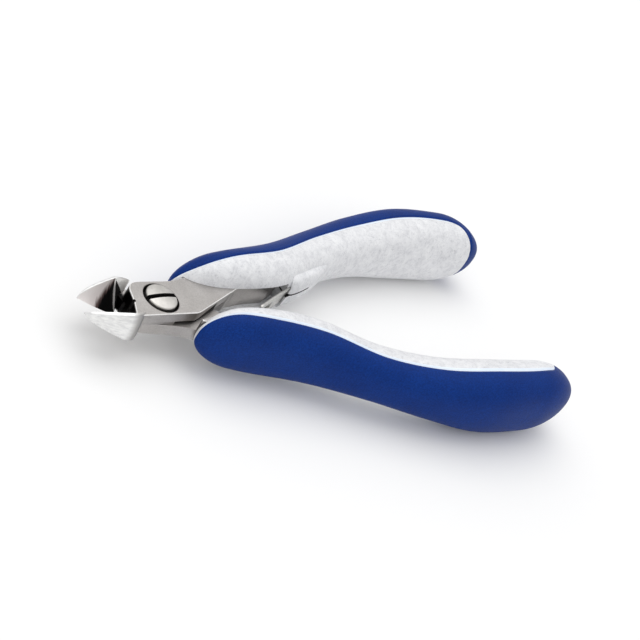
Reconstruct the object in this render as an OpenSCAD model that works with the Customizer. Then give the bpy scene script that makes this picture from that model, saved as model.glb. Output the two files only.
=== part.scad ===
// Flush cut pliers with a lap joint, dual-material grips and leaf return springs.
// Origin: the pivot axis on the flat underside of the joint. +X runs from the jaws
// to the handles, +Y to the handle of the upper half, +Z up. Drawn standing open.

/* [Joint] */
// Half of the handle opening at rest, degrees
half_open = 6.4; // [5:0.1:6.8]
// Thickness of each half-lap plate
lap_t = 3.5; // [3.2:0.1:3.5]
// Play between the two lap faces
lap_play = 0.08; // [0.04:0.02:0.12]
// Diameter of the pivot screw's head
head_d = 8.4; // [7.6:0.1:8.8]
// Diameter of the counterbore round the head
counterbore_d = 9.5; // [9:0.1:9.8]
// Height of the domed head above the plate
head_rise = 0.9; // [0.4:0.1:1.2]
// Diameter of the screw's bearing shoulder
shoulder_d = 5.6; // [5:0.1:6]
// Width of the driver slot
slot_w = 1.05; // [0.8:0.05:1.4]

/* [Jaws] */
// Distance from the pivot to the tip of the jaws
jaw_reach = 20.9; // [19:0.1:23]
// Height of the jaw shoulders above the lap plane
jaw_top = 3.65; // [3.5:0.05:4]
// Width of each jaw at its shoulder
jaw_w = 5.1; // [4.6:0.1:5.4]

/* [Grips] */
// Distance from the pivot to the end of the grips
grip_end = 123; // [118:1:128]
// Thickness of the grips against the drawn one
grip_swell = 1.0; // [0.97:0.01:1.05]
// Length of the steel tang inside each grip, from the pivot
tang_end = 75; // [66:1:80]

/* [Springs] */
// Thickness of the spring leaf
leaf_t = 0.7; // [0.5:0.05:0.8]
// Width of the spring leaf
leaf_w = 4.6; // [4:0.1:5]
// Length that each leaf reaches past the middle
leaf_past = 0.8; // [0.4:0.1:1.2]

/* [Hidden] */
$fn = 64;

drawn_half = 6.4;
steel = [0.72, 0.72, 0.70];
spring_steel = [0.62, 0.62, 0.60];
white_plastic = [0.90, 0.90, 0.92];
blue_rubber = [0.10, 0.21, 0.49];

// --- small helpers -------------------------------------------------------

// Value at x of the smooth curve through evenly spaced control values (Catmull-Rom).
function wrap_index(v, i) = v[min(max(i, 0), len(v) - 1)];
function cubic(a, b, c, d, u) =
    b + 0.5 * u * (c - a + u * (2 * a - 5 * b + 4 * c - d + u * (3 * (b - c) + d - a)));
function curve(v, s) = let (n = floor(s))
    cubic(
        wrap_index(v, n - 1), wrap_index(v, n), wrap_index(v, n + 1), wrap_index(v, n + 2), s - n
    );
// Rounded closing of a tube at its end: 1 in the body, 0 at the very end.
function closing(u) = u <= 0 ? 1 : u >= 1 ? 0 : pow(1 - pow(u, 2.2), 0.5);

// Lifts parts drawn about the lap plane into the part's own frame.
module at_lap() { translate([0, 0, lap_t]) children(); }
// Turns a half drawn closed to its resting place: side 1 has its handle at +Y.
module opened(side) { rotate(side * half_open) children(); }
// Places handle work, which is drawn on the +Y side at the drawn opening.
module on_side(side) {
    mirror([0, side > 0 ? 0 : 1, 0])
        rotate(half_open - drawn_half)
            children();
}
// The ring reflected to the -Y side, in reversed order so that it still turns
// anticlockwise.
function reflected(ring) =
    [for (i = [len(ring) - 1 : -1 : 0]) [ring[i][0], -ring[i][1], ring[i][2]]];
// Closed skin over rings that follow each other along +X, each with the same number
// of points, turning anticlockwise as seen from +X. Each four-sided patch is split
// across its diagonal, and triangles fan over both ends.
module skin(rings) {
    n = len(rings[0]);
    m = len(rings);
    points = [for (ring = rings) for (p = ring) p];
    sides = [
        for (i = [0 : m - 2])
            for (j = [0 : n - 1])
                for (half = [0, 1])
                    half == 0
                        ? [i * n + j, (i + 1) * n + j, (i + 1) * n + (j + 1) % n]
                        : [i * n + j, (i + 1) * n + (j + 1) % n, i * n + (j + 1) % n]
    ];
    front = [for (j = [1 : n - 2]) [0, j, j + 1]];
    back = [for (j = [1 : n - 2]) [(m - 1) * n, (m - 1) * n + j + 1, (m - 1) * n + j]];
    polyhedron(points, concat(sides, front, back), convexity = 6);
}

// --- steel halves ---------------------------------------------------------

jaw_len = jaw_reach - 11.2;
// The jaws' underside is ground a hair above the plates' underside.
jaw_foot = lap_t - 0.05;

// One ring of the jaw at t from 0 at the tip to 1 at the ridge, on the +Y side:
// cutting edge, bottom outer corner, flank, top outer corner, inner rim, bevel hollow.
function jaw_ring(t) = let (
    x = -jaw_reach + jaw_len * t,
    y_top = jaw_w * pow(t, 0.64),
    z_top = jaw_top * pow(t, 0.58),
    y_rim = 0.86 * jaw_w * pow(t, 0.78),
    z_rim = 1.04 * z_top,
    z_edge = max(0.05 - jaw_foot, -0.4 * jaw_len * t),
    y_foot = 6.1 * pow(t, 0.8),
    z_foot = -jaw_foot * pow(t, 0.6)
) [
    [x, 0.03, z_edge],
    [x, y_foot, z_foot],
    [x, (y_foot + y_top) / 2 + 0.25 * t, (z_foot + z_top) / 2],
    [x, y_top, z_top],
    [x, y_rim, z_rim],
    [x, y_rim / 2 + 0.4 * t, (z_edge + z_rim) / 2 - 0.5 * t]
];

// One ring of the jaw's root behind the ridge, where the throat is hollowed out.
function root_ring(x, y_throat, y_foot, y_top) = [
    [x, y_throat, -jaw_foot],
    [x, y_foot, -jaw_foot],
    [x, (y_foot + y_top) / 2 + 0.2, 0],
    [x, y_top, jaw_top],
    [x, max(y_throat, 0.84 * y_top), jaw_top],
    [x, max(y_throat, 0.72 * y_top), 0]
];

jaw_rings = concat(
    [for (t = [0.01, 0.04, 0.1, 0.2, 0.35, 0.5, 0.66, 0.82, 1]) jaw_ring(t)],
    [
        root_ring(-10.9, 1.2, 6.3, 5.05),
        root_ring(-10.2, 2.6, 6.5, 5),
        root_ring(-9.2, 3.7, 6.5, 5),
        root_ring(-8.2, 4.3, 6.3, 5),
        root_ring(-7.5, 4.9, 5.8, 5.1)
    ]
);
// The same rings listed from the root to the tip, each turned the other way round.
function end_for_end(rings) = [
    for (i = [len(rings) - 1 : -1 : 0])
        [for (j = [len(rings[i]) - 1 : -1 : 0]) rings[i][j]]
];
// Jaw drawn closed, on the +Y side (side 1) or the -Y side (side -1).
module jaw(side) {
    skin(side > 0 ? end_for_end(jaw_rings) : [for (ring = jaw_rings) reflected(ring)]);
}

// Outline of the lap plate, drawn closed, jaw on -Y and handle on +Y.
lap_outline = [
    [-10.3, -4.98], [8.5, -5.5], [24.8, 1.36], [26, 4], [11.1, 6.25], [6.4, 5.2],
    [-4.2, 5.6], [-5.6, 5.35], [-6.8, 4.6], [-7.5, 3.6], [-8.1, 1.7], [-8.3, 0.3],
    [-8.1, -0.3], [-8.3, -0.8], [-9.6, -3.8]
];
// Full-thickness part of the tang's front, behind the other plate's slanted edge.
step_outline = [[24.8, 1.36], [27, 5], [11.1, 6.25], [9.6, 5.95], [9.7, 5.45], [22.4, 0.3]];
// Tang inside the grip, drawn on the +Y side at the drawn opening.
tang_outline = [
    [24.5, 4.1], [30, 5.5], [37, 6.4], [42.5, 9.9], [46.4, 12.3], [56, 16.9],
    [tang_end - 10, 20], [tang_end - 0.5, 22.3], [tang_end, 24.8], [tang_end - 10, 23],
    [56, 19.6], [46.4, 15.2], [37, 11.8], [30, 10.2], [20, 8.9], [22, 6.5]
];

module lap_slab(outline, low, high) {
    translate([0, 0, low])
        linear_extrude(high - low)
            polygon(outline);
}

// Flat stock of one half: the tang on the side's own hand, the lap above (side 1)
// or below (side -1).
module flat_stock(side) {
    rotate([side > 0 ? 0 : 180, 0, 0]) {
        opened(1) {
            lap_slab(lap_outline, lap_play / 2, lap_t);
            lap_slab(step_outline, -lap_t, lap_t);
        }
        on_side(1) lap_slab(tang_outline, -lap_t, lap_t);
    }
}

counterbore_floor = 1.5;
module upper_blank() {
    color(steel) at_lap() difference() {
        union() {
            flat_stock(1);
            opened(1) jaw(-1);
        }
        translate([0, 0, counterbore_floor]) cylinder(d = counterbore_d, h = lap_t);
        translate([0, 0, -1]) cylinder(d = shoulder_d + 0.1, h = lap_t + 1);
    }
}

thread_d = 4.2;
module lower_blank() {
    color(steel) at_lap() difference() {
        union() {
            flat_stock(-1);
            opened(-1) jaw(1);
        }
        translate([0, 0, -lap_t - 1]) cylinder(d = thread_d + 0.06, h = 2 * lap_t);
    }
}

dome_r = (pow(head_d / 2, 2) + pow(head_rise, 2)) / (2 * head_rise);
head_seat = counterbore_floor + 0.04;
module pivot_screw() {
    color(spring_steel) at_lap() difference() {
        union() {
            intersection() {
                translate([0, 0, head_seat]) cylinder(d = head_d, h = lap_t + head_rise);
                translate([0, 0, lap_t + head_rise - dome_r]) sphere(r = dome_r, $fn = 96);
            }
            translate([0, 0, -lap_play / 2]) cylinder(d = shoulder_d, h = head_seat + 0.5);
            translate([0, 0, -lap_t]) cylinder(d = thread_d, h = lap_t + 0.5);
        }
        rotate(6.3)
            translate([-head_d, -slot_w / 2, lap_t - 0.5])
                cube([2 * head_d, slot_w, 3]);
    }
}

// --- grips ----------------------------------------------------------------

grip_start = 8.1;
grip_len = grip_end - grip_start;
// Control values at eight even stations from the front of the grip to its end.
centre_y = [8.65, 9.9, 13.1, 20.1, 25.3, 27.9, 27.9, 26.9];
half_width = [4, 6.2, 7.4, 6.9, 7.5, 8.1, 7.8, 7.7];
half_height = [7.3, 8.9, 8.3, 7.1, 8, 10.15, 10.35, 9.2];
// Where the colour boundary lies, as a share of the half width out from the centre.
boundary = [-0.12, 0.09, 0.14, 0.17, 0.09, 0.04, 0.01, -0.3];
grip_power = 2.3;
station_count = 44;
side_points = 18;

function at_station(values, s) = curve(values, s * (len(values) - 1));
function end_factor(s) = closing((s - 0.85) / 0.15) * closing((0.10 - s) / 0.10);
// The boundary turns in across the grip near its end, so the rubber wraps round it.
wrap_from = 0.90;
wrap_over = 0.055;
function boundary_share(s) =
    max(-0.99, at_station(boundary, s) - pow(max(0, s - wrap_from) / wrap_over, 2.5));
// Stations lie closer together towards the two rounded ends.
function station(i) = 0.5 - 0.5 * cos(180 * (0.02 + 0.96 * i / station_count));

// Half of a ring: points along the skin from the boundary's top to its bottom, on
// side 1 (outer, rubber) or -1 (inner, shell), closed by the straight boundary.
function grip_ring(s, side) = let (
    f = end_factor(s),
    w = at_station(half_width, s) * f,
    h = at_station(half_height, s) * f * grip_swell,
    yc = at_station(centre_y, s),
    q = boundary_share(s),
    top = acos(sign(q) * pow(abs(q), grip_power / 2)),
    reach = side > 0 ? top : top - 180
) [
    for (i = [0 : side_points])
        let (
            a = reach * (1 - 2 * i / side_points),
            c = side > 0 ? cos(a) : -cos(a),
            y = sign(c) * pow(abs(c), 2 / grip_power),
            z = sign(sin(a)) * pow(abs(sin(a)), 2 / grip_power)
        ) [grip_start + grip_len * s, yc + w * y, -h * z]
];

module grip_pad_body() {
    skin([for (i = [0 : station_count]) grip_ring(station(i), 1)]);
}
shell_rear = wrap_from + wrap_over * 0.9;
module grip_shell_body() {
    skin([
        for (i = [0 : station_count])
            if (station(i) < shell_rear) grip_ring(station(i), -1)
    ]);
}

// Slot in the shell for the steel: open towards the middle at the front, so that
// the other plate can swing in it, and a close fit round the tang further back.
channel_outline = [
    [0, 3], [4, 6.6], [10.3, 7.6], [20, 8.9], [30, 10.2], [37, 11.8], [42.3, 13.6],
    [42.3, 0], [0, 0]
];
channel_fit = 0.04;

// Boss that holds the spring leaf's root, rising out of the shell's inner face.
boss_outline = [[43.6, 5.7], [51.4, 8.8], [56, 11.4], [60, 14], [60, 17], [43.6, 11]];
nose_outline = [[42.4, 5.1], [44, 5.5], [51.4, 8.8], [51.4, 12], [42.4, 9.5]];
mouth = [42.5, 6.3];
root_angle = 27.5;
root_len = 8;

module boss() {
    lap_slab(boss_outline, 0, 4.4);
    lap_slab(boss_outline, -4.4, 0);
    lap_slab(nose_outline, -4.4, 0.1);
}
module leaf_pocket() {
    translate([mouth[0], mouth[1], -leaf_w / 2 - 0.1])
        rotate(root_angle)
            translate([-3, -leaf_t / 2, 0])
                cube([root_len + 3, leaf_t, leaf_w + 0.2]);
    // Slit in the boss's face through which the leaf is slid home
    translate([42, 4, 0.1]) cube([9.5, 6, 0.4]);
}

module grip_shell() {
    difference() {
        union() {
            grip_shell_body();
            boss();
        }
        lap_slab(channel_outline, -lap_t - channel_fit, lap_t + channel_fit);
        lap_slab(tang_outline, -lap_t - channel_fit, lap_t + channel_fit);
        leaf_pocket();
    }
}

module far_grip_shell() { color(white_plastic) at_lap() on_side(1) grip_shell(); }
module near_grip_shell() { color(white_plastic) at_lap() on_side(-1) grip_shell(); }
module far_grip_pad() { color(blue_rubber) at_lap() on_side(1) grip_pad_body(); }
module near_grip_pad() { color(blue_rubber) at_lap() on_side(-1) grip_pad_body(); }

// --- return springs --------------------------------------------------------

// Slope of the leaf at rest: from the mouth straight to the middle plane.
leaf_angle = 29.4;
leaf_span = mouth[1] / sin(leaf_angle);
fork_len = 6;
tongue_w = 1.4;
fork_gap = 2.1;

module spring_root() {
    translate([mouth[0], mouth[1], 0])
        rotate(root_angle)
            translate([0.65, -leaf_t / 2, -leaf_w / 2])
                cube([root_len - 0.8, leaf_t, leaf_w]);
}
// Leaf running forward from its mouth, with its bend line rounded about the mouth.
module leaf_strip() {
    translate([mouth[0], mouth[1], 0])
        rotate(180 + leaf_angle) {
            translate([0, -leaf_t / 2, -leaf_w / 2])
                cube([leaf_span + leaf_past, leaf_t, leaf_w]);
            translate([0, 0, -leaf_w / 2]) cylinder(d = leaf_t, h = leaf_w);
        }
}
module tip_cut(low, high) {
    translate([mouth[0], mouth[1], 0])
        rotate(180 + leaf_angle)
            translate([leaf_span + leaf_past - fork_len, -2, low])
                cube([fork_len + 1, 4, high - low]);
}
module forked_leaf() {
    difference() {
        leaf_strip();
        tip_cut(-fork_gap / 2, fork_gap / 2);
    }
}
module tongue_leaf() {
    difference() {
        leaf_strip();
        tip_cut(tongue_w / 2, leaf_w);
        tip_cut(-leaf_w, -tongue_w / 2);
    }
}

module far_spring_root() { color(spring_steel) at_lap() on_side(1) spring_root(); }
module near_spring_root() { color(spring_steel) at_lap() on_side(-1) spring_root(); }
module far_spring_leaf() { color(spring_steel) at_lap() on_side(1) forked_leaf(); }
module near_spring_leaf() { color(spring_steel) at_lap() on_side(-1) tongue_leaf(); }

upper_blank();
lower_blank();
pivot_screw();
far_grip_shell();
near_grip_shell();
far_grip_pad();
near_grip_pad();
far_spring_root();
near_spring_root();
far_spring_leaf();
near_spring_leaf();
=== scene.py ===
import bpy
import math
import numpy as np
from mathutils import Matrix, Vector


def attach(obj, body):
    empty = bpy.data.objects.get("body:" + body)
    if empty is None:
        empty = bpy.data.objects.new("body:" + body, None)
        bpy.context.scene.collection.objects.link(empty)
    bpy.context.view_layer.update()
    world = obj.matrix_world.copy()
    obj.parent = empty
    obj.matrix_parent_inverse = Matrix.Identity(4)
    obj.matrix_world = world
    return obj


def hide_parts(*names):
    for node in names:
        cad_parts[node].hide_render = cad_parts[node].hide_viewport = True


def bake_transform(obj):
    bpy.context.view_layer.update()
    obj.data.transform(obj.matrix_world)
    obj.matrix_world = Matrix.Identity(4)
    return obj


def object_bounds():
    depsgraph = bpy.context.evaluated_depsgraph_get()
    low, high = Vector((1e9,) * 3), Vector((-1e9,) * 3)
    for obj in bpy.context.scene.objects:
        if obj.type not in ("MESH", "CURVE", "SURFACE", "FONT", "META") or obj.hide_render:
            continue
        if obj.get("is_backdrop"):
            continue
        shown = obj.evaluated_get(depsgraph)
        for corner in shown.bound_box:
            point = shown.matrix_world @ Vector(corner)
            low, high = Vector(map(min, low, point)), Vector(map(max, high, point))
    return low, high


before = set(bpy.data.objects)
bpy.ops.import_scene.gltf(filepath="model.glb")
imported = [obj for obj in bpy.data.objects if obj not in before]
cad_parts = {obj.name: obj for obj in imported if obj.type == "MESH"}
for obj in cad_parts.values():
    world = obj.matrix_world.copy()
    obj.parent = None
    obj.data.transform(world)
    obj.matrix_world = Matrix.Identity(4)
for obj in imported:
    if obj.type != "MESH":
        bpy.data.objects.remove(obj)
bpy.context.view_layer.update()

# Lengths below are millimetres, measured from the pivot axis in the lap plane, with
# +X to the grips and +Y to the far grip. LAP lifts the lap plane above the underside.
MM = 0.001
LAP = 3.5
HALF_OPEN = math.radians(6.4)
LAP_PLAY = 0.04
UPPER, LOWER = 1, -1

CREASE = math.radians(32)
SIDE_SHARE = 0.48
MITRE_LIMIT = 0.35


# --- mesh making -------------------------------------------------------------------

def closed_mesh(name, points, faces, materials, finish=None):
    """Puts points (n x 3, mm about the lap plane) and faces into a mesh object in the
    part's frame, turns it right side out by the sign of its volume, and smooths it
    except where faces meet at more than the CREASE angle."""
    verts = np.asarray(points, float).copy()
    verts[:, 2] += LAP
    verts *= MM
    volume = 0.0
    for face in faces:
        a = verts[face[0]]
        for b, c in zip(face[1:-1], face[2:]):
            volume += np.dot(a, np.cross(verts[b], verts[c]))
    order = 1 if volume > 0 else -1
    mesh = bpy.data.meshes.new(name)
    mesh.from_pydata(verts.tolist(), [], [list(map(int, face))[::order] for face in faces])
    for material in materials:
        mesh.materials.append(material)
    if finish is not None:
        mesh.polygons.foreach_set("material_index", np.asarray(finish, np.int32))
    obj = bpy.data.objects.new(name, mesh)
    bpy.context.scene.collection.objects.link(obj)
    return smoothed(obj)


def smoothed(obj):
    """Smooth shading with the edges over the CREASE angle kept crisp."""
    obj.data.shade_smooth()
    obj.data.set_sharp_from_angle(angle=CREASE)
    return obj


def tube(name, rings, materials, finish=None):
    """A closed skin over rings (m x n x 3): ring i, point j meets its neighbours in
    four-sided faces, and a fan round each end ring's middle point closes the tube.
    finish gives a material number to each point's strip of faces."""
    m, n = rings.shape[:2]
    i, j = np.meshgrid(np.arange(m - 1), np.arange(n), indexing="ij")
    k = (j + 1) % n
    quads = np.stack([i * n + j, i * n + k, (i + 1) * n + k, (i + 1) * n + j], -1)
    faces = quads.reshape(-1, 4).tolist()
    slots = []
    if finish is not None:
        slots = np.asarray(finish)[i, j].reshape(-1).tolist()
    points = np.vstack([rings.reshape(-1, 3), rings[0].mean(0), rings[-1].mean(0)])
    around = np.arange(n)
    ahead = (around + 1) % n
    last = (m - 1) * n
    faces += np.stack([np.full(n, m * n), ahead, around], -1).tolist()
    faces += np.stack([np.full(n, m * n + 1), last + around, last + ahead], -1).tolist()
    slots += [0] * (2 * n) if finish is not None else []
    return closed_mesh(name, points, faces, materials, slots or None)


def rounded(corners, steps=7):
    """Outline through corners (x, y, radius): each corner is cut back by its radius
    along both sides, or by SIDE_SHARE of a short side, and bridged by the parabola
    (1-u)^2 a + 2u(1-u) p + u^2 b, from cut a to cut b, which leans towards corner p."""
    out = []
    count = len(corners)
    for i, (x, y, r) in enumerate(corners):
        p = np.array([x, y])
        before = np.array(corners[i - 1][:2]) - p
        after = np.array(corners[(i + 1) % count][:2]) - p
        if r <= 0:
            out.append(p)
            continue
        a = p + before * min(SIDE_SHARE, r / np.linalg.norm(before))
        b = p + after * min(SIDE_SHARE, r / np.linalg.norm(after))
        u = np.linspace(0, 1, steps)[:, None]
        out.extend((1 - u) ** 2 * a + 2 * u * (1 - u) * p + u ** 2 * b)
    return np.array(out)


def inset(outline, distance):
    """The outline drawn inwards: each point moves by distance (m + n) / (1 + m.n),
    along the mitre of its two sides, whose inward normals are m and n."""
    x, y = outline[:, 0], outline[:, 1]
    area = np.sum(x * np.roll(y, -1) - np.roll(x, -1) * y)
    ahead = np.roll(outline, -1, 0) - outline
    ahead /= np.linalg.norm(ahead, axis=1, keepdims=True) + 1e-12
    normal = np.stack([-ahead[:, 1], ahead[:, 0]], -1) * np.sign(area)
    before = np.roll(normal, 1, 0)
    dot = np.sum(normal * before, 1, keepdims=True)
    return outline + distance * (normal + before) / np.maximum(1 + dot, MITRE_LIMIT)


def prism(name, outline, low, high, materials, edge_low=0.0, edge_high=0.0, slot=0,
          edge_slots=(0, 0)):
    """The outline carried from low to high, with a 45 degree chamfer at either end.
    slot and edge_slots are the material numbers of the walls and of the chamfers."""
    levels = [(low, edge_low), (low + edge_low, 0), (high - edge_high, 0), (high, edge_high)]
    rings = []
    for z, drawn_in in levels:
        ring = inset(outline, drawn_in) if drawn_in else outline
        if not rings or abs(z - rings[-1][0, 2]) > 1e-6:
            rings.append(np.column_stack([ring, np.full(len(ring), z)]))
    m, n = len(rings), len(outline)
    faces = [
        [i * n + j, i * n + (j + 1) % n, (i + 1) * n + (j + 1) % n, (i + 1) * n + j]
        for i in range(m - 1) for j in range(n)
    ]
    slots = [slot] * len(faces)
    if edge_low:
        slots[:n] = [edge_slots[0]] * n
    if edge_high:
        slots[-n:] = [edge_slots[1]] * n
    faces += [list(range(n))[::-1], list(range((m - 1) * n, m * n))]
    return closed_mesh(name, np.vstack(rings), faces, materials, slots + [slot] * 2)


def lathe(name, profile, materials, finish=None, around=128):
    """Profile points (radius, height), from the axis out and back to the axis, turned
    once round the pivot axis. finish gives a material number to each profile step."""
    r, z = np.array(profile, float).T
    angle = np.linspace(0, 2 * math.pi, around, endpoint=False)
    inner = slice(1, len(r) - 1)
    ring = np.stack([
        r[inner, None] * np.cos(angle), r[inner, None] * np.sin(angle),
        np.broadcast_to(z[inner, None], (len(r) - 2, around)),
    ], -1)
    m, n = ring.shape[:2]
    points = np.vstack([ring.reshape(-1, 3), [[0, 0, z[0]], [0, 0, z[-1]]]])
    faces, slots = [], []
    step = finish if finish is not None else [0] * (len(r) - 1)
    for i in range(m - 1):
        for j in range(n):
            k = (j + 1) % n
            faces.append([i * n + j, i * n + k, (i + 1) * n + k, (i + 1) * n + j])
            slots.append(step[i + 1])
    for j in range(n):
        k = (j + 1) % n
        faces.append([m * n, k, j])
        slots.append(step[0])
        faces.append([m * n + 1, (m - 1) * n + j, (m - 1) * n + k])
        slots.append(step[-1])
    return closed_mesh(name, points, faces, materials, slots)


def worked(base, tools, operation):
    """Joins (UNION) or cuts (DIFFERENCE) base with each tool solid, then drops them.
    Stops if over half of the faces are lost, as when the solver empties a mesh."""
    for tool in tools:
        step = base.modifiers.new("work", "BOOLEAN")
        step.operation = operation
        step.solver = "EXACT"
        step.object = tool
    seen = base.evaluated_get(bpy.context.evaluated_depsgraph_get())
    mesh = bpy.data.meshes.new_from_object(seen)
    base.modifiers.clear()
    if len(mesh.polygons) < len(base.data.polygons) / 2:
        raise RuntimeError(f"{operation} of {base.name} lost most of its faces")
    base.data = mesh
    for tool in tools:
        bpy.data.objects.remove(tool)
    return smoothed(base)


def turned(obj, angle, side=UPPER):
    """Turns a finished mesh about the pivot axis. A LOWER half is first turned over
    about the X axis through the lap plane."""
    over = Matrix.Identity(4)
    if side == LOWER:
        lift = Matrix.Translation((0, 0, LAP * MM))
        over = lift @ Matrix.Rotation(math.pi, 4, "X") @ lift.inverted()
    obj.data.transform(over @ Matrix.Rotation(angle, 4, "Z"))
    return obj


# --- materials ---------------------------------------------------------------------

class Finish:
    """A Principled material and small helpers that add nodes on Object coordinates."""

    def __init__(self, name, colour, metallic, roughness, **sockets):
        self.material = bpy.data.materials.new(name)
        self.material.use_nodes = True
        self.nodes = self.material.node_tree.nodes
        self.links = self.material.node_tree.links
        self.shader = self.nodes["Principled BSDF"]
        self.shader.inputs["Base Color"].default_value = (*colour, 1)
        self.shader.inputs["Metallic"].default_value = metallic
        self.shader.inputs["Roughness"].default_value = roughness
        for socket, value in sockets.items():
            self.shader.inputs[socket.replace("_", " ")].default_value = value
        self.place = self.nodes.new("ShaderNodeTexCoord").outputs["Object"]

    def stretched(self, scale, turn=(0, 0, 0)):
        """Object coordinates scaled by axis and turned."""
        node = self.nodes.new("ShaderNodeMapping")
        node.inputs["Scale"].default_value = scale
        node.inputs["Rotation"].default_value = turn
        self.links.new(self.place, node.inputs["Vector"])
        return node.outputs["Vector"]

    def noise(self, scale, detail=4, rough=0.6, swirl=0.0, where=None):
        """Noise with features about 1/scale metres across."""
        node = self.nodes.new("ShaderNodeTexNoise")
        node.inputs["Scale"].default_value = scale
        node.inputs["Detail"].default_value = detail
        node.inputs["Roughness"].default_value = rough
        node.inputs["Distortion"].default_value = swirl
        self.links.new(where or self.place, node.inputs["Vector"])
        return node.outputs["Fac"]

    def ramp(self, value, stops):
        """Colours or greys at their places along value."""
        node = self.nodes.new("ShaderNodeValToRGB")
        element = node.color_ramp.elements
        while len(element) < len(stops):
            element.new(0.5)
        for e, (at, colour) in zip(element, stops):
            e.position = at
            e.color = (*colour, 1) if np.ndim(colour) else (colour, colour, colour, 1)
        self.links.new(value, node.inputs["Fac"])
        return node.outputs["Color"]

    def mixed(self, share, first, second, blend="MIX"):
        """first blended with second, by a number or by another node's output."""
        node = self.nodes.new("ShaderNodeMix")
        node.data_type = "RGBA"
        node.blend_type = blend
        for socket, value in ((0, share), (6, first), (7, second)):
            if isinstance(value, bpy.types.NodeSocket):
                self.links.new(value, node.inputs[socket])
            elif socket == 0:
                node.inputs[0].default_value = value
            else:
                node.inputs[socket].default_value = (*value, 1)
        return node.outputs[2]

    def maths(self, operation, first, second=0.0):
        """One operation on two numbers or outputs."""
        node = self.nodes.new("ShaderNodeMath")
        node.operation = operation
        for socket, value in ((0, first), (1, second)):
            if isinstance(value, bpy.types.NodeSocket):
                self.links.new(value, node.inputs[socket])
            else:
                node.inputs[socket].default_value = value
        return node.outputs[0]

    def axes(self):
        """The three Object coordinates, in metres."""
        split = self.nodes.new("ShaderNodeSeparateXYZ")
        self.links.new(self.place, split.inputs[0])
        return split.outputs[0], split.outputs[1], split.outputs[2]

    def band(self, value, off_mm, on_mm):
        """0 at off_mm and beyond, rising evenly to 1 at on_mm and beyond."""
        node = self.nodes.new("ShaderNodeMapRange")
        node.inputs["From Min"].default_value = off_mm * MM
        node.inputs["From Max"].default_value = on_mm * MM
        self.links.new(value, node.inputs["Value"])
        return node.outputs["Result"]

    def colour(self, output):
        self.links.new(output, self.shader.inputs["Base Color"])

    def roughness(self, value, low, high):
        """Roughness from low to high as value goes from 0 to 1."""
        node = self.nodes.new("ShaderNodeMapRange")
        node.inputs["To Min"].default_value = low
        node.inputs["To Max"].default_value = high
        self.links.new(value, node.inputs["Value"])
        self.links.new(node.outputs["Result"], self.shader.inputs["Roughness"])

    def bump(self, height, strength, depth_mm):
        node = self.nodes.new("ShaderNodeBump")
        node.inputs["Strength"].default_value = strength
        node.inputs["Distance"].default_value = depth_mm * MM
        self.links.new(height, node.inputs["Height"])
        self.links.new(node.outputs["Normal"], self.shader.inputs["Normal"])


def soft_grip_finish():
    """Royal blue soft-touch rubber: a very fine pebble grain, with faint cloudiness."""
    f = Finish("soft grip rubber", (0.003, 0.03, 0.2), 0.0, 0.5, Specular_IOR_Level=0.10)
    cloud = f.noise(90, 3, 0.5)
    grain = f.noise(2600, 3, 0.6)
    body = f.ramp(cloud, [(0.3, (0.0018, 0.026, 0.175)), (0.7, (0.0026, 0.033, 0.21))])
    speck = f.ramp(grain, [(0.36, 0.72), (0.64, 1.12)])
    f.colour(f.mixed(1.0, body, speck, "MULTIPLY"))
    f.roughness(cloud, 0.40, 0.55)
    f.bump(grain, 0.5, 0.10)
    return f.material


def marbled_finish():
    """Pale grey-white moulded plastic clouded with fine fibres and marbled flecks."""
    f = Finish("marbled shell plastic", (0.8, 0.8, 0.82), 0.0, 0.42,
               Specular_IOR_Level=0.45)
    swirl = f.noise(420, 9, 0.78, 0.5)
    fibre = f.noise(1100, 6, 0.7, 1.2, f.stretched((1, 1.6, 0.7), (0.4, 0.2, 0.7)))
    body = f.ramp(swirl, [(0.36, (0.63, 0.635, 0.66)), (0.5, (0.75, 0.755, 0.775)),
                          (0.64, (0.83, 0.835, 0.85))])
    fleck = f.ramp(fibre, [(0.36, (0.70, 0.70, 0.72)), (0.47, (1, 1, 1))])
    f.colour(f.mixed(0.6, body, fleck, "MULTIPLY"))
    f.roughness(swirl, 0.36, 0.5)
    f.bump(f.noise(2600, 3), 0.12, 0.03)
    return f.material


def shell_edge_highlight_finish():
    """Clean lip of the shell beside the rubber, without flecks; its paler, cooler white than the
    shell is a painted highlight along the seam.
    """
    f = Finish("shell edge plastic", (0.80, 0.88, 0.98), 0.0, 0.38)
    cloud = f.noise(600, 3)
    f.colour(f.ramp(cloud, [(0.3, (0.76, 0.86, 0.98)), (0.7, (0.84, 0.91, 1.0))]))
    f.roughness(cloud, 0.34, 0.44)
    f.bump(cloud, 0.05, 0.02)
    return f.material


def satin_steel_finish():
    """Ground tool steel with a satin grain and faint handling marks, painted near black
    inside the throat as shade: ahead of x = -7 mm, between the outer sides and below the top face."""
    f = Finish("satin steel", (0.48, 0.465, 0.45), 1.0, 0.36)
    grain = f.noise(2900, 5, 0.7)
    cloud = f.noise(170, 4, 0.6)
    body = f.ramp(cloud, [(0.3, (0.42, 0.40, 0.385)), (0.7, (0.485, 0.465, 0.45))])
    ground = f.mixed(1.0, body, f.ramp(grain, [(0.35, 0.86), (0.65, 1.08)]), "MULTIPLY")
    x, y, z = f.axes()
    # near black inside the throat: painted shade
    ahead = f.band(x, -6.9, -7.6)
    between = f.band(f.maths("ABSOLUTE", y), 4.8, 4.2)
    within = f.maths("MULTIPLY", f.band(z, 6.8, 6.3), f.band(z, 0.3, 0.8))
    throat_shade = f.maths("MULTIPLY", f.maths("MULTIPLY", ahead, between), within)
    f.colour(f.mixed(throat_shade, ground, (0.008, 0.007, 0.007)))
    f.roughness(cloud, 0.32, 0.42)
    f.bump(grain, 0.28, 0.03)
    return f.material


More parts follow.
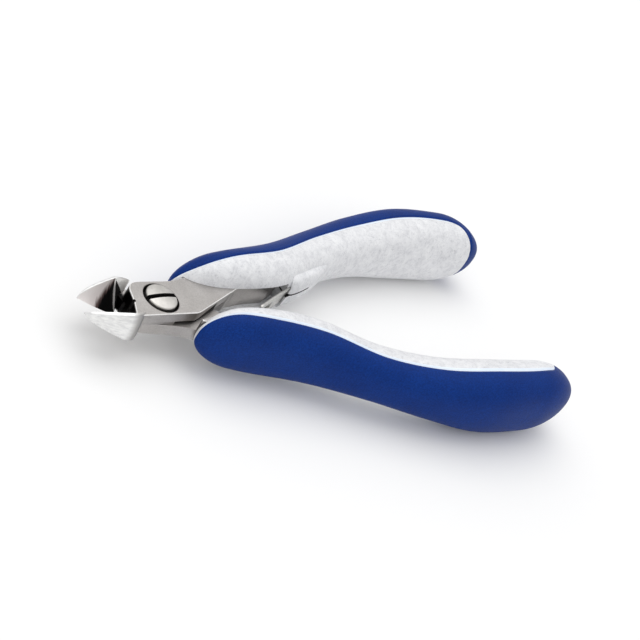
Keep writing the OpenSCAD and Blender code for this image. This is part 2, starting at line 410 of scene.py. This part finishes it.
def bright_edge_and_highlight_finish():
    """Broken edges of the plates, rubbed bright and painted paler as highlight; also the painted
    highlight on the jaw ridge and on the lit upper part of the throat face.
    """
    f = Finish("bright steel edge", (0.92, 0.91, 0.89), 0.55, 0.3)
    rub = f.noise(1800, 3)
    f.colour(f.ramp(rub, [(0.3, (0.80, 0.79, 0.77)), (0.6, (0.96, 0.95, 0.93))]))
    f.roughness(rub, 0.25, 0.4)
    f.bump(rub, 0.15, 0.02)
    return f.material


def brushed_flank_finish():
    """Jaw flanks belt-ground along the jaw: bright steel with long fine scratches,
    painted darker grey towards the back of the jaw as shade where it turns in."""
    f = Finish("brushed jaw flank", (0.80, 0.80, 0.79), 1.0, 0.36)
    lines = f.noise(1.0, 3, 0.6, 0.0, f.stretched((70, 1700, 1700)))
    broad = f.noise(1.0, 2, 0.5, 0.0, f.stretched((40, 700, 700)))
    both = f.maths("ADD", lines, broad)
    ground = f.ramp(lines, [(0.32, (0.70, 0.70, 0.70)), (0.62, (0.88, 0.88, 0.87))])
    # darker grey towards the back of the jaw: painted shade where the back turns in
    f.colour(f.mixed(f.band(f.axes()[0], -10.4, -8.6), ground, (0.42, 0.41, 0.40)))
    f.roughness(broad, 0.34, 0.48)
    f.bump(both, 0.15, 0.03)
    return f.material


def polished_bevel_finish():
    """Ground and polished cutting bevels with fine grinding marks down the bevel, painted
    bright at the tip and near black near the ridge as x - 0.67 z grows: painted reflection and
    shade."""
    f = Finish("polished bevel", (0.58, 0.57, 0.56), 0.3, 0.34, Specular_IOR_Level=0.12)
    lines = f.noise(1.0, 2, 0.5, 0.0, f.stretched((2600, 260, 260)))
    x, _, z = f.axes()
    reach = f.maths("ADD", f.maths("ADD", x, f.maths("MULTIPLY", z, -0.67)),
                    f.maths("MULTIPLY", lines, 0.002))
    # the ramp from near white to black is a painted reflection and shade
    f.colour(f.ramp(f.band(reach, -22.3, -10.3), [
        (0.0, (1.0, 0.965, 0.95)), (0.55, (0.80, 0.74, 0.725)), (0.66, (0.13, 0.09, 0.085)),
        (0.74, (0.004, 0.004, 0.004))]))
    f.roughness(lines, 0.30, 0.42)
    f.bump(lines, 0.08, 0.01)
    return f.material


def recess_shade_finish():
    """Steel painted near black as shade in the throat, the counterbore, the slits and other
    hollows.
    """
    f = Finish("dark recess steel", (0.03, 0.03, 0.032), 0.0, 0.6, Specular_IOR_Level=0.12)
    cloud = f.noise(900, 4, 0.6)
    f.colour(f.ramp(cloud, [(0.35, (0.004, 0.004, 0.005)), (0.7, (0.020, 0.018, 0.017))]))
    f.roughness(cloud, 0.5, 0.7)
    f.bump(cloud, 0.3, 0.03)
    return f.material


def screw_finish():
    """Bright turned steel: fine rings left by facing the head on a lathe."""
    f = Finish("turned screw steel", (0.60, 0.585, 0.56), 1.0, 0.36)
    ring = f.nodes.new("ShaderNodeTexWave")
    ring.wave_type = "RINGS"
    ring.rings_direction = "Z"
    ring.inputs["Scale"].default_value = 1500
    ring.inputs["Distortion"].default_value = 0.6
    f.links.new(f.place, ring.inputs["Vector"])
    cloud = f.noise(400, 3)
    f.colour(f.ramp(cloud, [(0.3, (0.50, 0.485, 0.46)), (0.7, (0.66, 0.64, 0.61))]))
    f.roughness(cloud, 0.32, 0.46)
    f.bump(ring.outputs["Fac"], 0.10, 0.01)
    return f.material


def spring_finish():
    """Rolled spring steel with lengthwise roll marks."""
    f = Finish("rolled spring steel", (0.5, 0.5, 0.48), 1.0, 0.34)
    lines = f.noise(1.0, 3, 0.6, 0.0, f.stretched((400, 2000, 5000)))
    f.colour(f.ramp(lines, [(0.35, (0.42, 0.42, 0.40)), (0.65, (0.58, 0.57, 0.55))]))
    f.roughness(lines, 0.28, 0.42)
    f.bump(lines, 0.2, 0.02)
    return f.material


RUBBER = soft_grip_finish()
SHELL = marbled_finish()
LIP_HIGHLIGHT = shell_edge_highlight_finish()
SATIN = satin_steel_finish()
EDGE_AND_HIGHLIGHT = bright_edge_and_highlight_finish()
FLANK = brushed_flank_finish()
BEVEL = polished_bevel_finish()
RECESS_SHADE = recess_shade_finish()
SCREW = screw_finish()
SPRING = spring_finish()
STEELS = [SATIN, FLANK, BEVEL, RECESS_SHADE, EDGE_AND_HIGHLIGHT]
# the recess steel is painted shade for hollows, gaps and slits
ON_SATIN, ON_FLANK, ON_BEVEL, ON_RECESS_SHADE, ON_EDGE_AND_HIGHLIGHT = range(5)
PLASTICS = [SHELL, LIP_HIGHLIGHT, RECESS_SHADE]
ON_SHELL, ON_LIP_HIGHLIGHT, IN_SLIT_SHADE = range(3)


# --- grips -------------------------------------------------------------------------

GRIP_FROM, GRIP_TO = 8.1, 123.0
CENTRE_Y = [8.65, 9.9, 13.1, 20.1, 25.3, 27.9, 27.9, 26.9]
HALF_WIDTH = [4, 6.2, 7.4, 6.9, 7.5, 8.1, 7.8, 7.7]
HALF_HEIGHT = [7.3, 8.9, 8.3, 7.1, 8, 10.15, 10.35, 9.2]
BOUNDARY = [-0.30, 0.09, 0.14, 0.17, 0.09, 0.04, 0.01, -0.3]
POWER = 2.3
WRAP_FROM, WRAP_OVER = 0.888, 0.055
SEAM_DEPTH, SEAM_REACH = 0.28, 0.32
LIP_HIGHLIGHT_STRIPS = 8
FRONT_ROUND, REAR_ROUND = 0.10, 0.15
END_STOP = 0.012


def smooth_through(values, s):
    """Catmull-Rom curve through evenly spaced control values, at s from 0 to 1."""
    v = np.asarray(values, float)
    x = np.clip(s, 0, 1) * (len(v) - 1)
    i = np.minimum(np.floor(x).astype(int), len(v) - 2)
    u = x - i
    a, b, c, d = (v[np.clip(i + k, 0, len(v) - 1)] for k in (-1, 0, 1, 2))
    return b + 0.5 * u * (c - a + u * (2 * a - 5 * b + 4 * c - d + u * (3 * (b - c) + d - a)))


def closing(u):
    """1 along the grip, falling as (1 - u^2.2)^0.5 to 0 at its rounded end."""
    return np.sqrt(1 - np.clip(u, 0, 1) ** 2.2)


def signed_power(x, power):
    """sign(x) |x|^power."""
    return np.sign(x) * np.abs(x) ** power


def grip_rings(outer, stations=230, points=90):
    """Half of the grip's tube as rings. At station s the whole section is the
    superellipse |y/w|^2.3 + |z/h|^2.3 = 1, cut by the colour boundary y = q w. The
    rubber is its outer side and the shell its inner side. Both skins dip towards the
    tube's middle near the boundary, which draws the seam as a fine groove."""
    s = 0.5 - 0.5 * np.cos(np.pi * np.linspace(END_STOP, 1 - END_STOP, stations))[:, None]
    if not outer:
        s = s[s[:, 0] < WRAP_FROM + 0.95 * WRAP_OVER]
    f = closing((s - 1 + REAR_ROUND) / REAR_ROUND) * closing((FRONT_ROUND - s) / FRONT_ROUND)
    w, h = smooth_through(HALF_WIDTH, s) * f, smooth_through(HALF_HEIGHT, s) * f
    q = smooth_through(BOUNDARY, s) - (np.clip(s - WRAP_FROM, 0, 1) / WRAP_OVER) ** 2.5
    q = np.maximum(q, -0.995)
    top = np.arccos(signed_power(q, POWER / 2))
    sweep = top if outer else np.pi - top
    t = np.sin(np.linspace(-np.pi / 2, np.pi / 2, points))[None, :]
    angle = sweep * t
    y = w * signed_power(np.cos(angle), 2 / POWER) * (1 if outer else -1)
    z = h * signed_power(np.sin(angle), 2 / POWER)
    apart = (1 - np.abs(t)) * sweep * (w + h) / 2
    fade = np.clip((1 + q) / 0.25, 0, 1) * np.minimum(f, 1)
    dip = 1 - SEAM_DEPTH * fade * np.exp(-(apart / SEAM_REACH) ** 2) / np.maximum((w + h) / 2, 0.5)
    x = np.broadcast_to(GRIP_FROM + (GRIP_TO - GRIP_FROM) * s, y.shape)
    return np.stack([x, smooth_through(CENTRE_Y, s) + y * dip, z * dip], -1)


def on_hand(points, hand):
    """Points drawn for the far (+Y) grip, mirrored for the near one."""
    out = np.array(points, float)
    out[..., 1] *= hand
    return out


CHANNEL = [(0, 3), (4, 6.6), (10.3, 7.6), (20, 8.9), (30, 10.2), (37, 11.8), (42.3, 13.6),
           (42.3, 0), (0, 0)]
TANG_END = 75.0
TANG = [(24.5, 4.1), (30, 5.5), (37, 6.4), (42.5, 9.9), (46.4, 12.3), (56, 16.9),
        (TANG_END - 10, 20), (TANG_END - 0.5, 22.3), (TANG_END, 24.8), (TANG_END - 10, 23),
        (56, 19.6), (46.4, 15.2), (37, 11.8), (30, 10.2), (20, 8.9), (22, 6.5)]
MOUTH = np.array([42.5, 6.3])
ROOT_ANGLE = math.radians(27.5)
ROOT_LEN = 8.0
LEAF_T, LEAF_W = 0.7, 4.6
CHANNEL_PLAY = 0.03
POCKET_HALF, POCKET_PLAY = 0.42, 0.1
BOSS_FROM, BOSS_LEN = 43.5, 17.5
NOSE_FROM, NOSE_LEN, NOSE_TOP = 42.42, 8.88, 0.05
SLIT_FROM, SLIT_SIZE = np.array([42.0, 4.0]), (10.0, 6.0, 0.5)


def boss_rings(x, face_y, rise, depth, power=3.0, points=64):
    """The spring boss: at each x the superellipse |y/a|^3 + |z/rise|^3 = 1, where a is
    half of depth and its inmost side lies at face_y."""
    a = np.linspace(0, 2 * np.pi, points, endpoint=False)[None, :]
    x, face_y, rise, depth = (np.asarray(v, float)[:, None] for v in (x, face_y, rise, depth))
    y = face_y + depth / 2 - depth / 2 * signed_power(np.cos(a), 2 / power)
    z = rise * signed_power(np.sin(a), 2 / power)
    return np.stack([np.broadcast_to(x, y.shape), y, z], -1)


def spring_boss(hand):
    """Upper part of the boss, swelling out of the shell and fading into it behind. Its
    face lies at 5.65 + 2.8 u + 6 u^1.6, for u from 0 to 1 along it."""
    u = np.linspace(0, 1, 36)
    x = BOSS_FROM + BOSS_LEN * u
    face = 5.65 + 2.8 * u + 6.0 * u ** 1.6
    front = 1 - 0.12 * np.exp(-(u / 0.03))
    rings = boss_rings(x, face + (1 - front) * 3, (5.2 - 2.0 * u) * front, 6.0 - 2.0 * u)
    return tube("boss", on_hand(rings, hand), PLASTICS)


def spring_nose(hand):
    """Lower lip of the boss, which reaches a little further forward than the upper. Its
    face lies at 5.15 + 3.7 u, for u from 0 to 1 along it."""
    u = np.linspace(0, 1, 24)
    x = NOSE_FROM + NOSE_LEN * u
    face = 5.15 + 3.7 * u
    rings = boss_rings(x, face, 4.6 + 0.2 * u, np.full_like(u, 4.2))
    rings[..., 2] = np.minimum(rings[..., 2], NOSE_TOP)
    return tube("nose", on_hand(rings, hand), PLASTICS)


def strip_box(name, start, angle, along, across, low, high, hand, materials, slot=0):
    """A box that lies along a direction in the XY plane."""
    d = np.array([math.cos(angle), math.sin(angle)])
    n = np.array([-d[1], d[0]])
    corners = [start + d * a + n * b for a in along for b in across]
    outline = np.array([corners[0], corners[2], corners[3], corners[1]])
    outline[:, 1] *= hand
    return prism(name, outline, low, high, materials, slot=slot)


def grip_shell(name, hand):
    """Marbled shell with its boss, the channel for the steel and the spring's pocket."""
    rings = grip_rings(False)
    finish = np.full(rings.shape[:2], ON_SHELL)
    # strips beside the seam take the lip plastic, painted paler as a highlight
    finish[:, :LIP_HIGHLIGHT_STRIPS] = finish[:, -LIP_HIGHLIGHT_STRIPS - 1:-1] = ON_LIP_HIGHLIGHT
    shell = tube(name, on_hand(rings, hand), PLASTICS, finish)
    shell = worked(shell, [spring_boss(hand), spring_nose(hand)], "UNION")
    half = LAP + CHANNEL_PLAY
    tall = LEAF_W / 2 + POCKET_PLAY
    long, wide, high = SLIT_SIZE
    cuts = [prism("cut", on_hand(o, hand), -half, half, PLASTICS) for o in (CHANNEL, TANG)]
    # pocket and slit walls take the recess steel colour, painted near black as shade
    cuts.append(strip_box("cut", MOUTH, ROOT_ANGLE, (-3, ROOT_LEN),
                          (-POCKET_HALF, POCKET_HALF), -tall, tall, hand, PLASTICS, IN_SLIT_SHADE))
    cuts.append(strip_box("cut", SLIT_FROM, 0.0, (0, long), (0, wide),
                          0.0, high, hand, PLASTICS, IN_SLIT_SHADE))
    return worked(shell, cuts, "DIFFERENCE")


# --- steel halves ------------------------------------------------------------------

JAW_REACH, JAW_RIDGE, JAW_BACK = 20.9, 11.2, 7.45
JAW_TOP, JAW_W, JAW_FOOT = 3.65, 5.1, 3.45
CHAMFER = 0.2
BACK_ROUND = 2.2
RIDGE_LAND, RIDGE_LEAN = 0.15, 1.7
RELIEF_TOP = 0.75
SHADOW_WEDGE_OUTLINE = [(9.31, -5.20), (16.81, -2.04), (16.57, -1.46), (9.07, -4.62)]
SHADOW_WEDGE_TOPS = (0.5, 2.6)
FOOT_STRIPS, FLANK_STRIPS, RIM_STRIPS, INNER_STRIPS = 7, 15, 5, 25
OUTER_STRIPS = FOOT_STRIPS + FLANK_STRIPS + RIM_STRIPS
TIP_STATIONS, ROOT_STATIONS = 70, 30
BORE_R, SHOULDER_R, COUNTER_R, COUNTER_EDGE_R = 2.13, 2.85, 4.75, 4.95
NOTCH_AT, NOTCH_R = (-8.35, -0.25), 0.5


def bridge(a, b, bow, strips):
    """Points from a up to, but not at, b (m x 2 each), on (1-u) a + u b + 4u(1-u) bow."""
    u = np.linspace(0, 1, strips + 1)[None, :-1, None]
    a, b, bow = a[:, None, :], b[:, None, :], bow[:, None, :]
    return (1 - u) * a + u * b + 4 * u * (1 - u) * bow


def jaw_rings():
    """Rings of one jaw on the +Y side, drawn closed. From the tip, t = 0, to the
    ridge, t = 1, widths and heights grow as powers of t. A distance d behind the ridge
    the throat has opened by 0.7 (1 - e^(-d/0.8)) + 3.3 (d/span)^1.8 at the foot, the inner
    side slopes from there up to the rim, and the back corner is rounded off. The ridge
    leans back by RIDGE_LEAN between the rim and the cutting edge."""
    span = JAW_RIDGE - JAW_BACK
    t = 0.004 + 0.996 * np.linspace(0, 1, TIP_STATIONS) ** 1.5
    d = np.linspace(RIDGE_LAND, span, ROOT_STATIONS)
    x = np.concatenate([-JAW_REACH + (JAW_REACH - JAW_RIDGE) * t, -JAW_RIDGE + d])
    t = np.concatenate([t, np.ones(ROOT_STATIONS)])
    d = np.concatenate([np.zeros(TIP_STATIONS), d])
    turn = np.clip((d - span + BACK_ROUND) / BACK_ROUND, 0, 1)
    back = 1 - np.sqrt(np.clip(1 - turn ** 2, 0, 1))
    behind = np.clip(d - RIDGE_LAND, 0, None)
    throat = 0.7 * (1 - np.exp(-behind / 0.8)) + 3.3 * (d / span) ** 1.8 * (behind > 0)
    y_foot = 6.1 * t ** 0.8 + 0.4 * np.sin(np.pi * np.clip(d / 3.0, 0, 0.5)) - 1.5 * back
    y_top = JAW_W * t ** 0.64 - 0.8 * back
    z_top = JAW_TOP * t ** 0.58
    y_rim = np.minimum(0.86 * y_top * t ** 0.14 + 0.1 * d, y_top - 0.06 * np.sqrt(t))
    y_rim = np.maximum(y_rim, 0.4 * y_top)
    z_edge = np.maximum(-JAW_FOOT + 0.05, -0.4 * (JAW_REACH - JAW_RIDGE) * t)
    z_foot = -JAW_FOOT * t ** 0.6
    edge = np.stack([0.03 + throat, np.where(d > 0, -JAW_FOOT, z_edge)], -1)
    foot = np.stack([y_foot, z_foot], -1)
    top = np.stack([y_top, z_top], -1)
    rim = np.stack([y_rim, 1.04 * z_top], -1)
    hollow = np.where(d > 0, 0.0, 1.0) * t
    size = t ** 0.8
    none = np.zeros_like(edge)
    flank_bow = np.stack([0.30 * size, 0 * size], -1)
    rim_bow = np.stack([0 * size, 0.05 * size], -1)
    bevel_bow = np.stack([0.42 * hollow, -0.75 * hollow], -1)
    section = np.concatenate([
        bridge(edge, foot, none, FOOT_STRIPS), bridge(foot, top, flank_bow, FLANK_STRIPS),
        bridge(top, rim, rim_bow, RIM_STRIPS), bridge(rim, edge, bevel_bow, INNER_STRIPS),
    ], 1)
    low = np.concatenate([
        np.linspace(1, 0, FOOT_STRIPS + 1)[:-1], np.zeros(FLANK_STRIPS + RIM_STRIPS),
        np.linspace(0, 1, INNER_STRIPS + 1)[:-1],
    ])
    lean = RIDGE_LEAN * np.where(d > 0, (1 - d / span) ** 1.5, t ** 3)
    x = x[:, None] + lean[:, None] * low[None, :]
    rings = np.concatenate([x[:, :, None], section], -1)
    finish = np.full(section.shape[:2], ON_SATIN)
    finish[:, FOOT_STRIPS:OUTER_STRIPS] = ON_FLANK
    inner = finish[:, OUTER_STRIPS:]
    # Behind the ridge the inner face is painted near black as shade; its upper part and the ridge
    # line are painted bright as highlight.
    inner[:] = np.where(d > 0, ON_RECESS_SHADE, ON_BEVEL)[:, None]
    down = np.arange(INNER_STRIPS)[None, :] / INNER_STRIPS
    inner[(d[:, None] > 0) & (down < 0.62 * d[:, None] / span)] = ON_EDGE_AND_HIGHLIGHT
    inner[TIP_STATIONS - 1] = ON_EDGE_AND_HIGHLIGHT
    return rings, finish


LAP_PLATE = [(-10.3, -4.98, 0), (2.5, -5.334, 0), (8.5, -5.5, 1.0), (24.8, 1.36, 0), (26, 4, 0),
             (11.1, 6.25, 1.2), (6.4, 5.2, 3.0), (-5.9, 5.75, 2.6), (-7.5, 3.6, 0.9),
             (-8.35, -0.6, 0.7), (-9.6, -3.8, 0)]
LAP_FOOT = [LAP_PLATE[0], LAP_PLATE[1], (3.6, -4.8, 0), (8.35, -4.85, 1.0), (24.3, 1.9, 0)]
LAP_FOOT += LAP_PLATE[4:]
TANG_STEP = [(24.8, 1.36, 0), (27, 5, 0), (11.1, 6.25, 1.0), (9.6, 5.95, 0), (9.7, 5.45, 0),
             (22.4, 0.3, 0)]


def shadow_wedge():
    """Near-black strip on the plate's slanted wall, 0.03 mm proud of it: a sheet of painted shadow
    along the gap line, whose upper edge climbs from the front top height to the back top height."""
    front, back = SHADOW_WEDGE_TOPS
    tops = (front, back, back, front)
    low = [(x, y, LAP_PLAY + 0.02) for x, y in SHADOW_WEDGE_OUTLINE]
    high = [(x, y, z) for (x, y), z in zip(SHADOW_WEDGE_OUTLINE, tops)]
    faces = [[j, (j + 1) % 4, (j + 1) % 4 + 4, j + 4] for j in range(4)]
    faces += [[3, 2, 1, 0], [4, 5, 6, 7]]
    return closed_mesh("wedge", low + high, faces, STEELS, [ON_RECESS_SHADE] * 6)


def steel_half(name, side):
    """One forged half: jaw, lap plate and tang in one piece of steel, ground flat."""
    rings, finish = jaw_rings()
    # chamfers take the bright edge steel: rubbed bright, with a painted highlight
    bright = (ON_EDGE_AND_HIGHLIGHT, ON_EDGE_AND_HIGHLIGHT)
    plate = prism(name, rounded(LAP_PLATE), RELIEF_TOP, LAP, STEELS, 0, CHAMFER,
                  edge_slots=bright)
    relieved = inset(rounded(LAP_FOOT if side == UPPER else LAP_PLATE), 0.01)
    foot = prism("foot", relieved, LAP_PLAY, RELIEF_TOP + 0.1, STEELS)
    plate = worked(plate, [foot], "UNION")
    if side == UPPER:
        # a sheet of painted shadow on the slanted wall
        plate = worked(plate, [shadow_wedge()], "UNION")
    step = prism("step", rounded(TANG_STEP), -LAP, LAP - 0.001, STEELS, CHAMFER, CHAMFER,
                 edge_slots=bright)
    # notch walls take the recess steel, painted near black as shade
    notch = lathe("notch", [(0, -1), (NOTCH_R, -1), (NOTCH_R, LAP + 1), (0, LAP + 1)],
                  STEELS, [ON_RECESS_SHADE] * 3, 32)
    notch.data.transform(Matrix.Translation((NOTCH_AT[0] * MM, NOTCH_AT[1] * MM, 0)))
    plate = worked(plate, [notch], "DIFFERENCE")
    half = worked(plate, [step], "UNION")
    turned(half, HALF_OPEN)
    tang = prism("tang", np.array(TANG), -LAP + 0.002, LAP - 0.002, STEELS, CHAMFER, CHAMFER,
                 edge_slots=bright)
    half = worked(half, [tang], "UNION")
    if side == UPPER:
        # counterbore and bore walls take the recess steel, painted near black as shade
        bore = lathe("bore", [(0, -1), (SHOULDER_R, -1), (SHOULDER_R, 1.5), (COUNTER_R, 1.5),
                              (COUNTER_R, LAP - 0.12), (COUNTER_EDGE_R, LAP + 0.08),
                              (COUNTER_EDGE_R, 6), (0, 6)],
                     STEELS, [ON_RECESS_SHADE] * 4 + [ON_SATIN, ON_RECESS_SHADE, ON_RECESS_SHADE])
    else:
        turned(half, 0.0, LOWER)
        # bore walls take the recess steel, painted near black as shade
        bore = lathe("bore", [(0, -6), (BORE_R, -6), (BORE_R, 1), (0, 1)], STEELS,
                     [ON_RECESS_SHADE] * 3)
    hand = -1 if side == UPPER else 1
    jaw = tube("jaw", on_hand(rings, hand), STEELS, finish)
    turned(jaw, HALF_OPEN * side)
    half = worked(half, [jaw], "UNION")
    half = worked(half, [bore], "DIFFERENCE")
    # painted shadow on the upper plate's relieved foot
    if side == UPPER:
        paint_foot_shade(half)
    return half


def paint_foot_shade(half):
    """Gives the recess colour to the relieved foot of the upper plate's near wall: a painted
    shadow along the gap between the plates.
    """
    count = len(half.data.polygons)
    centre, normal = np.empty(count * 3), np.empty(count * 3)
    slot = np.empty(count, np.int32)
    half.data.polygons.foreach_get("center", centre)
    half.data.polygons.foreach_get("normal", normal)
    half.data.polygons.foreach_get("material_index", slot)
    x, y, z = centre.reshape(-1, 3).T / MM
    wall = abs(normal.reshape(-1, 3)[:, 2]) < 0.3
    foot = wall & (z > LAP + LAP_PLAY) & (z < LAP + RELIEF_TOP) & (x > 2.6) & (x < 20) & (y < 1)
    slot[foot & (slot == ON_SATIN)] = ON_RECESS_SHADE
    half.data.polygons.foreach_set("material_index", slot)


# --- screw and springs ---------------------------------------------------------------

HEAD_R, HEAD_RISE, SEAT = 4.08, 0.9, 1.54
RIM, DOME_FALL = 0.35, 0.42
NECK_R, THREAD_R, POINT_R = 2.8, 2.1, 1.85
SLOT_ANGLE, SLOT_HALF, SLOT_DEPTH = math.radians(6.3), 0.6, 0.7


def pivot_screw():
    """Screw with a low domed head: the dome is z = top - 0.42 (r/R)^2, rounded by RIM
    into the side, over the bearing shoulder and the plain end of the thread."""
    r = np.linspace(0, HEAD_R - RIM, 18)
    top = LAP + HEAD_RISE
    dome = top - DOME_FALL * (r / HEAD_R) ** 2
    a = np.linspace(0, np.pi / 2, 7)[1:]
    edge_r = HEAD_R - RIM + RIM * np.sin(a)
    edge_z = dome[-1] - RIM * (1 - np.cos(a))
    profile = list(zip(r, dome)) + list(zip(edge_r, edge_z))
    profile += [(HEAD_R, SEAT), (NECK_R, SEAT), (NECK_R, -LAP_PLAY), (THREAD_R, -LAP_PLAY),
                (THREAD_R, -LAP + 0.25), (POINT_R, -LAP), (0, -LAP)]
    screw = lathe("pivot_screw_turned", profile, [SCREW, RECESS_SHADE])
    # the slot walls take the recess steel, painted near black as shade
    slot = strip_box("slot", np.array([0.0, 0.0]), SLOT_ANGLE, (-6, 6),
                     (-SLOT_HALF, SLOT_HALF), LAP - SLOT_DEPTH, LAP + 3, 1, [SCREW, RECESS_SHADE], 1)
    return worked(screw, [slot], "DIFFERENCE")


LEAF_ANGLE = math.radians(29.4)
LEAF_SPAN = MOUTH[1] / math.sin(LEAF_ANGLE) + 0.8
FORK_LEN = 6.0
FORK_GAP, TONGUE = 1.05, 0.7


def spring_strip(name, hand, forked):
    """Flat strip on a grid of its length and width: straight in the pocket, then from
    the mouth to just past the middle plane. Its last FORK_LEN is a fork, or a tongue
    that passes between the fork's prongs. Solidify gives it its thickness."""
    along = np.concatenate([np.linspace(-ROOT_LEN + 0.4, -0.6, 12), np.linspace(0, LEAF_SPAN, 42)])
    side = np.array([TONGUE, FORK_GAP, 1.7, LEAF_W / 2])
    across = np.concatenate([-side[::-1], [0], side])
    s, z = np.meshgrid(along, across, indexing="ij")
    angle = np.where(s < 0, ROOT_ANGLE, LEAF_ANGLE)
    x = MOUTH[0] - s * np.cos(angle)
    y = (MOUTH[1] - s * np.sin(angle)) * hand
    end_round = np.clip((s - LEAF_SPAN + 0.7) / 0.7, 0, 1) ** 2
    z = z * (1 - 0.12 * end_round)
    n = len(across)
    faces = []
    for i in range(len(along) - 1):
        for j in range(n - 1):
            middle = (across[j] + across[j + 1]) / 2
            in_tip = (along[i] + along[i + 1]) / 2 > LEAF_SPAN - FORK_LEN
            gone = abs(middle) < FORK_GAP if forked else abs(middle) > TONGUE
            if not (in_tip and gone):
                faces.append([i * n + j, i * n + j + 1, (i + 1) * n + j + 1, (i + 1) * n + j])
    points = np.stack([x, y, z + LAP], -1).reshape(-1, 3) * MM
    used = np.unique(np.array(faces))
    renumber = np.zeros(len(points), int)
    renumber[used] = np.arange(len(used))
    mesh = bpy.data.meshes.new(name)
    mesh.from_pydata(points[used].tolist(), [], renumber[np.array(faces)].tolist())
    mesh.materials.append(SPRING)
    obj = bpy.data.objects.new(name, mesh)
    bpy.context.scene.collection.objects.link(obj)
    wall = obj.modifiers.new("thickness", "SOLIDIFY")
    wall.thickness = LEAF_T * MM
    wall.offset = 0
    edge = obj.modifiers.new("edges", "BEVEL")
    edge.width = 0.1 * MM
    edge.segments = 2
    edge.limit_method = "ANGLE"
    return smoothed(obj)


# --- camera, floor and light -----------------------------------------------------------

LENS, SENSOR = 102.1, 36
CAMERA_AT = (-246.5, -247.6, 253.7 + LAP)
CAMERA_RIGHT = (0.7655, -0.4247, 0.4834)
CAMERA_UP = (-0.0234, 0.7323, 0.6806)
CAMERA_BACK = (-0.6430, -0.5323, 0.5506)
FLOOR_HALF, FLOOR_GAP = 6.0, 0.0002


def camera():
    """A long lens above the jaws, rolled so that the grips lie nearly level."""
    data = bpy.data.cameras.new("camera")
    data.lens, data.sensor_width = LENS, SENSOR
    obj = bpy.data.objects.new("camera", data)
    bpy.context.scene.collection.objects.link(obj)
    place = Matrix((CAMERA_RIGHT, CAMERA_UP, CAMERA_BACK)).transposed().to_4x4()
    place.translation = Vector(CAMERA_AT) * MM
    obj.matrix_world = place
    bpy.context.scene.camera = obj


def floor(lowest):
    """Plain pale floor just under the grips."""
    mesh = bpy.data.meshes.new("floor")
    corners = [(-1, -1), (1, -1), (1, 1), (-1, 1)]
    mesh.from_pydata([(x * FLOOR_HALF, y * FLOOR_HALF, lowest - FLOOR_GAP) for x, y in corners],
                     [], [(0, 1, 2, 3)])
    obj = bpy.data.objects.new("floor", mesh)
    bpy.context.scene.collection.objects.link(obj)
    paint = Finish("floor paint", (0.92, 0.92, 0.92), 0.0, 0.8)
    obj.data.materials.append(paint.material)
    obj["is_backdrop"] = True


def soft_light(name, place, size, watts, aim=(0.045, 0, 0)):
    """Square area light at place, turned towards aim, which is near the tool's middle."""
    data = bpy.data.lights.new(name, "AREA")
    data.shape, data.size, data.energy = "SQUARE", size, watts
    obj = bpy.data.objects.new(name, data)
    bpy.context.scene.collection.objects.link(obj)
    obj.location = place
    obj.rotation_mode = "QUATERNION"
    obj.rotation_quaternion = (Vector(place) - Vector(aim)).to_track_quat("Z", "Y")


def studio():
    """Light room: pale walls above, darker towards the horizon, and soft boxes."""
    world = bpy.data.worlds.new("studio")
    bpy.context.scene.world = world
    world.use_nodes = True
    nodes, links = world.node_tree.nodes, world.node_tree.links
    back = nodes["Background"]
    split = nodes.new("ShaderNodeSeparateXYZ")
    ramp = nodes.new("ShaderNodeValToRGB")
    links.new(nodes.new("ShaderNodeTexCoord").outputs["Generated"], split.inputs[0])
    links.new(split.outputs["Z"], ramp.inputs["Fac"])
    stops = ramp.color_ramp.elements
    stops.new(0.3)
    for stop, (at, value) in zip(stops, ((0.0, 0.55), (0.3, 0.72), (0.7, 0.95))):
        stop.position = at
        stop.color = (value, value, value, 1)
    links.new(ramp.outputs["Color"], back.inputs["Color"])
    back.inputs["Strength"].default_value = 1.0
    soft_light("overhead box", (0.10, 0.20, 0.70), 0.7, 1.6)
    soft_light("front box", (-0.55, -0.45, 0.35), 0.5, 0.5)
    bpy.context.scene.view_settings.view_transform = "Standard"


# --- the tool ----------------------------------------------------------------------------

camera()
studio()

for hand, word, half in ((1, "far", "upper_half"), (-1, "near", "lower_half")):
    pad = tube(word + "_rubber", on_hand(grip_rings(True), hand), [RUBBER])
    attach(pad, half)
    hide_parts(word + "_grip_pad")
    shell = grip_shell(word + "_marbled_shell", hand)
    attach(shell, half)
    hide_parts(word + "_grip_shell")
    strip = spring_strip(word + "_leaf_spring", hand, hand > 0)
    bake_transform(strip)
    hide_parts(word + "_spring_root", word + "_spring_leaf")

for side, word in ((UPPER, "upper"), (LOWER, "lower")):
    half = steel_half(word + "_steel", side)
    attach(half, word + "_half")
    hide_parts(word + "_blank")

screw = pivot_screw()
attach(screw, "lower_half")
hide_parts("pivot_screw")

floor(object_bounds()[0].z)
